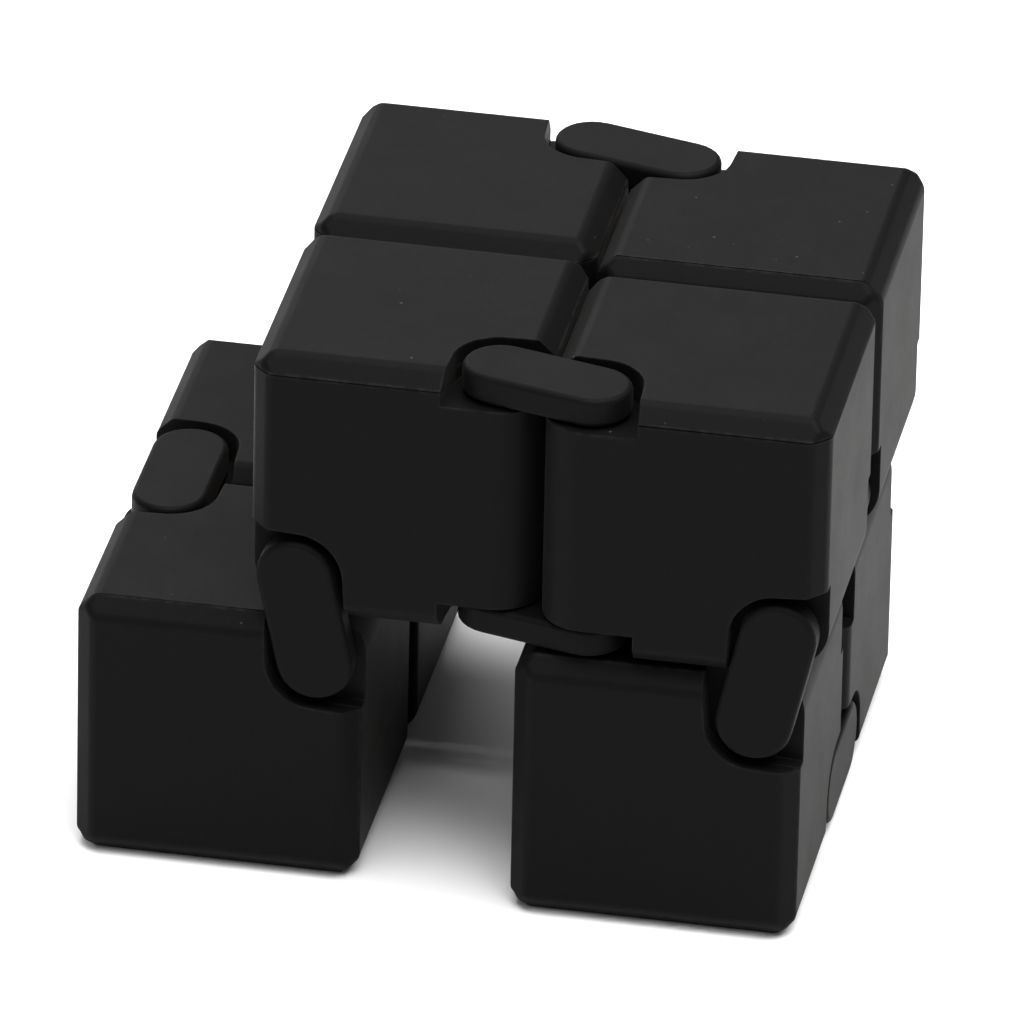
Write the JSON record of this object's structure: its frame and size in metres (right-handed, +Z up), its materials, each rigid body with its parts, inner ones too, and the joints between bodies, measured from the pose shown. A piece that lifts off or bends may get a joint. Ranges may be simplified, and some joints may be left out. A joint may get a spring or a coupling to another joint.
{
  "type": "infinity cube fidget toy",
  "caption": "Palm-sized black fidget toy: a closed ring of hollow plastic cubes joined by double-pin links that folds over and over in the hand.",
  "frame": {"origin": "middle of the toy's bounding box in X and Y, on the surface it stands on", "axes": "+X to the right along the long side, +Y to the back, +Z up; the two cubes of the lower left pair are swung out to -X"},
  "size_m": [0.0524, 0.0422, 0.0403],
  "materials": {
    "cube_plastic": "matte black moulded ABS, fine even texture",
    "link_plastic": "matte black moulded ABS, slightly smoother than the cubes",
    "pin_steel": "plain drawn steel wire"
  },
  "bodies": {
    "top_block": {"top_front_left_shell": "cube_plastic", "top_front_left_lid": "cube_plastic", "top_front_right_shell": "cube_plastic", "top_front_right_lid": "cube_plastic", "top_back_right_shell": "cube_plastic", "top_back_right_lid": "cube_plastic", "top_back_left_shell": "cube_plastic", "top_back_left_lid": "cube_plastic", "top_front_link_lower_plate": "link_plastic", "top_front_link_upper_plate": "link_plastic", "top_front_link_left_pin": "pin_steel", "top_front_link_right_pin": "pin_steel", "top_back_link_lower_plate": "link_plastic", "top_back_link_upper_plate": "link_plastic", "top_back_link_left_pin": "pin_steel", "top_back_link_right_pin": "pin_steel"},
    "left_front_pin": {"left_front_link_upper_pin": "pin_steel"},
    "left_front_link": {"left_front_link_outer_plate": "link_plastic", "left_front_link_inner_plate": "link_plastic", "left_front_link_lower_pin": "pin_steel"},
    "left_pair": {"left_pair_front_shell": "cube_plastic", "left_pair_front_lid": "cube_plastic", "left_pair_back_shell": "cube_plastic", "left_pair_back_lid": "cube_plastic", "left_pair_link_bottom_plate": "link_plastic", "left_pair_link_top_plate": "link_plastic", "left_pair_link_front_pin": "pin_steel", "left_pair_link_back_pin": "pin_steel"},
    "left_back_pin": {"left_back_link_upper_pin": "pin_steel"},
    "left_back_link": {"left_back_link_inner_plate": "link_plastic", "left_back_link_outer_plate": "link_plastic", "left_back_link_lower_pin": "pin_steel"},
    "right_front_pin": {"right_front_link_upper_pin": "pin_steel"},
    "right_front_link": {"right_front_link_outer_plate": "link_plastic", "right_front_link_inner_plate": "link_plastic"},
    "right_pair_pin": {"right_front_link_lower_pin": "pin_steel"},
    "right_pair": {"right_pair_front_shell": "cube_plastic", "right_pair_front_lid": "cube_plastic", "right_pair_back_shell": "cube_plastic", "right_pair_back_lid": "cube_plastic", "right_pair_link_inner_plate": "link_plastic", "right_pair_link_outer_plate": "link_plastic", "right_pair_link_front_pin": "pin_steel", "right_pair_link_back_pin": "pin_steel"},
    "right_back_pin": {"right_back_link_upper_pin": "pin_steel"},
    "right_back_link": {"right_back_link_inner_plate": "link_plastic", "right_back_link_outer_plate": "link_plastic", "right_back_link_lower_pin": "pin_steel"}
  },
  "joints": [
    {"name": "left_front_pin_play", "type": "hinge", "parent": "top_block", "child": "left_front_pin", "pos_m": [-0.01089, -0.00942, 0.02354], "axis": [0, 1, 0], "range_deg": [0, 13]},
    {"name": "left_link_swing", "type": "hinge", "parent": "left_front_pin", "child": "left_front_link", "pos_m": [-0.01089, -0.00942, 0.02354], "axis": [0, 1, 0], "range_deg": [0, 90]},
    {"name": "left_pair_fold", "type": "hinge", "parent": "left_front_link", "child": "left_pair", "pos_m": [-0.0094, -0.00942, 0.0168], "axis": [0, 1, 0], "range_deg": [-103, 0]},
    {"name": "left_back_pin_play", "type": "hinge", "parent": "top_block", "child": "left_back_pin", "pos_m": [-0.01089, 0.01108, 0.02354], "axis": [0, 1, 0], "range_deg": [0, 13]},
    {"name": "left_back_link_swing", "type": "hinge", "parent": "left_back_pin", "child": "left_back_link", "pos_m": [-0.01089, 0.01108, 0.02354], "axis": [0, 1, 0], "range_deg": [0, 90]},
    {"name": "right_front_pin_play", "type": "hinge", "parent": "top_block", "child": "right_front_pin", "pos_m": [0.023, -0.01108, 0.02354], "axis": [0, -1, 0], "range_deg": [0, 13]},
    {"name": "right_link_swing", "type": "hinge", "parent": "right_front_pin", "child": "right_front_link", "pos_m": [0.023, -0.01108, 0.02354], "axis": [0, -1, 0], "range_deg": [0, 90]},
    {"name": "right_pair_pin_play", "type": "hinge", "parent": "right_front_link", "child": "right_pair_pin", "pos_m": [0.02151, -0.01108, 0.0168], "axis": [0, -1, 0], "range_deg": [-13, 0]},
    {"name": "right_pair_fold", "type": "hinge", "parent": "right_pair_pin", "child": "right_pair", "pos_m": [0.02151, -0.01108, 0.0168], "axis": [0, -1, 0], "range_deg": [0, 90]},
    {"name": "right_back_pin_play", "type": "hinge", "parent": "top_block", "child": "right_back_pin", "pos_m": [0.023, 0.00942, 0.02354], "axis": [0, -1, 0], "range_deg": [0, 13]},
    {"name": "right_back_link_swing", "type": "hinge", "parent": "right_back_pin", "child": "right_back_link", "pos_m": [0.023, 0.00942, 0.02354], "axis": [0, -1, 0], "range_deg": [0, 90]}
  ],
  "couplings": [
    {"joint": "left_front_pin_play", "follows": "left_pair_fold", "ratio": -0.1262},
    {"joint": "left_back_pin_play", "follows": "left_pair_fold", "ratio": -0.1262},
    {"joint": "left_back_link_swing", "follows": "left_link_swing", "ratio": 1},
    {"joint": "right_front_pin_play", "follows": "left_pair_fold", "ratio": -0.1262},
    {"joint": "right_back_pin_play", "follows": "left_pair_fold", "ratio": -0.1262},
    {"joint": "right_pair_pin_play", "follows": "left_pair_fold", "ratio": 0.1262},
    {"joint": "right_back_link_swing", "follows": "right_link_swing", "ratio": 1}
  ]
}
